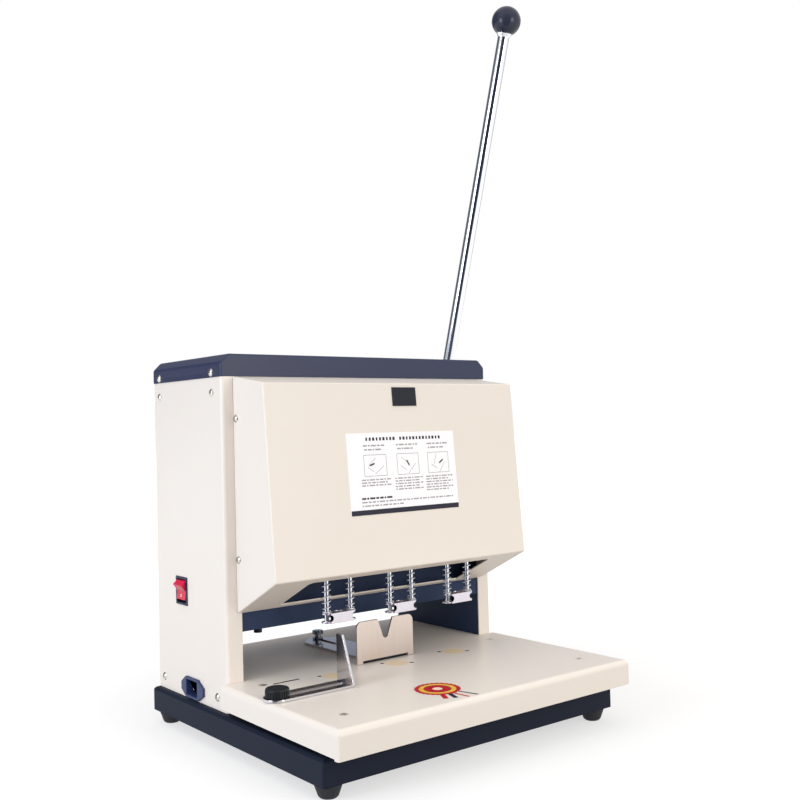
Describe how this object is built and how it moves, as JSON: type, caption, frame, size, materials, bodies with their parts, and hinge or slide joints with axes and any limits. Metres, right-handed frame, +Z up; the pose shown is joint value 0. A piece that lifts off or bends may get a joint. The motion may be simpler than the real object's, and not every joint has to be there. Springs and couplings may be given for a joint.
{
  "type": "paper drill",
  "caption": "Desk-top electric paper drill for file binding: a hand lever lowers a row of hollow drills and sprung pressers onto a table with sliding gauges.",
  "frame": {"origin": "on the desk plane under the feet, below the middle drill's axis", "axes": "+X to the operator's right along the row of drills, +Y to the rear, +Z up"},
  "size_m": [0.3995, 0.364, 0.8253],
  "materials": {
    "cream_paint": "fine-textured satin powder coat",
    "navy_paint": "semi-gloss paint",
    "inner_navy": "satin paint",
    "steel": "ground and lightly polished",
    "chrome": "bright plated",
    "nickel": "nickel plated",
    "black_oxide": "blackened",
    "cast": "machined casting",
    "brass": "turned",
    "foot_rubber": "matt",
    "belt_rubber": "matt",
    "black_plastic": "moulded, glossy",
    "black_moulding": "moulded, matt",
    "red_plastic": "moulded, glossy",
    "disc_plastic": "turned nylon",
    "label_film": "printed film"
  },
  "bodies": {
    "frame": {"base_tray": "navy_paint", "rubber_feet": "foot_rubber", "table_plate": "cream_paint", "table_posts": "steel", "table_screws": "nickel", "cutting_discs": "disc_plastic", "disc_screws": "black_oxide", "side_plate_left": "inner_navy", "side_plate_right": "inner_navy", "side_cover_left": "cream_paint", "side_cover_right": "cream_paint", "cover_standoffs": "steel", "cover_screws": "nickel", "top_cover_screws": "nickel", "rear_panel": "cream_paint", "top_cover": "navy_paint", "front_hood": "cream_paint", "hood_label": "label_film", "hood_nameplate": "black_plastic", "lower_beam": "inner_navy", "guide_columns": "chrome", "column_bolts": "black_oxide", "top_bridge": "inner_navy", "shaft_bushes": "brass", "return_spring": "steel", "switch_bezel": "black_moulding", "power_inlet": "black_moulding", "inlet_pins": "chrome"},
    "rocker": {"switch_rocker": "red_plastic"},
    "lever": {"lever_shaft": "steel", "lever_hub": "black_moulding", "lever_rod": "chrome", "lever_knob": "black_plastic", "sector_gears": "cast"},
    "carriage": {"racks": "steel", "carriage_plate": "inner_navy", "carriage_back": "inner_navy", "guide_bushes": "brass", "motor": "inner_navy", "drive_belts": "belt_rubber", "presser_springs_left": "steel", "presser_springs_middle": "steel", "presser_springs_right": "steel"},
    "motor_rotor": {"motor_pulley": "steel"},
    "side_fence": {"side_gauge": "steel"},
    "side_clamp": {"side_gauge_knob": "black_plastic"},
    "back_fence": {"back_gauge": "steel"},
    "back_clamp": {"back_gauge_screw": "chrome"},
    "spindle_left_unit": {"spindle_left": "steel", "drill_left": "chrome"},
    "presser_left_unit": {"presser_bar_left": "chrome", "presser_rods_left": "chrome"},
    "spindle_middle_unit": {"spindle_middle": "steel", "drill_middle": "chrome"},
    "presser_middle_unit": {"presser_bar_middle": "chrome", "presser_rods_middle": "chrome"},
    "spindle_right_unit": {"spindle_right": "steel", "drill_right": "chrome"},
    "presser_right_unit": {"presser_bar_right": "chrome", "presser_rods_right": "chrome"}
  },
  "joints": [
    {"name": "lever_pull", "type": "hinge", "parent": "frame", "child": "lever", "pos_m": [0, 0.1745, 0.28278], "axis": [1, 0, 0], "range_deg": [0, 75], "stiffness_Nm_per_rad": 4, "springref_deg": -114.59},
    {"name": "carriage_feed", "type": "slide", "parent": "frame", "child": "carriage", "axis": [0, 0, -1], "range_m": [0, 0.1048]},
    {"name": "motor_spin", "type": "hinge", "parent": "carriage", "child": "motor_rotor", "pos_m": [0, 0.08, 0.268], "axis": [0, 0, 1], "continuous": true},
    {"name": "switch_rock", "type": "hinge", "parent": "frame", "child": "rocker", "pos_m": [-0.178, 0.1506, 0.151], "axis": [0, 1, 0], "range_deg": [0, 30]},
    {"name": "side_fence_slide", "type": "slide", "parent": "frame", "child": "side_fence", "axis": [-1, 0, 0], "range_m": [0, 0.06]},
    {"name": "side_clamp_turn", "type": "hinge", "parent": "frame", "child": "side_clamp", "pos_m": [-0.172, -0.03, 0.08], "axis": [0, 0, 1], "continuous": true},
    {"name": "back_fence_slide", "type": "slide", "parent": "frame", "child": "back_fence", "axis": [0, 1, 0], "range_m": [0, 0.037]},
    {"name": "back_clamp_turn", "type": "hinge", "parent": "frame", "child": "back_clamp", "pos_m": [0, 0.162, 0.08], "axis": [0, 0, 1], "continuous": true},
    {"name": "spindle_left_spin", "type": "hinge", "parent": "carriage", "child": "spindle_left_unit", "pos_m": [-0.08, 0, 0.24], "axis": [0, 0, 1], "continuous": true},
    {"name": "presser_left_slide", "type": "slide", "parent": "carriage", "child": "presser_left_unit", "axis": [0, 0, 1], "range_m": [0, 0.0487], "deforming": ["presser_springs_left"]},
    {"name": "spindle_middle_spin", "type": "hinge", "parent": "carriage", "child": "spindle_middle_unit", "pos_m": [0, 0, 0.24], "axis": [0, 0, 1], "continuous": true},
    {"name": "presser_middle_slide", "type": "slide", "parent": "carriage", "child": "presser_middle_unit", "axis": [0, 0, 1], "range_m": [0, 0.0487], "deforming": ["presser_springs_middle"]},
    {"name": "spindle_right_spin", "type": "hinge", "parent": "carriage", "child": "spindle_right_unit", "pos_m": [0.08, 0, 0.24], "axis": [0, 0, 1], "continuous": true},
    {"name": "presser_right_slide", "type": "slide", "parent": "carriage", "child": "presser_right_unit", "axis": [0, 0, 1], "range_m": [0, 0.0487], "deforming": ["presser_springs_right"]}
  ],
  "couplings": [
    {"joint": "carriage_feed", "follows": "lever_pull", "m_per_rad": 0.08},
    {"joint": "spindle_left_spin", "follows": "motor_spin", "ratio": 1},
    {"joint": "presser_left_slide", "follows": "lever_pull", "m_per_rad": 0.037143},
    {"joint": "spindle_middle_spin", "follows": "motor_spin", "ratio": 1},
    {"joint": "presser_middle_slide", "follows": "lever_pull", "m_per_rad": 0.037143},
    {"joint": "spindle_right_spin", "follows": "motor_spin", "ratio": 1},
    {"joint": "presser_right_slide", "follows": "lever_pull", "m_per_rad": 0.037143}
  ]
}
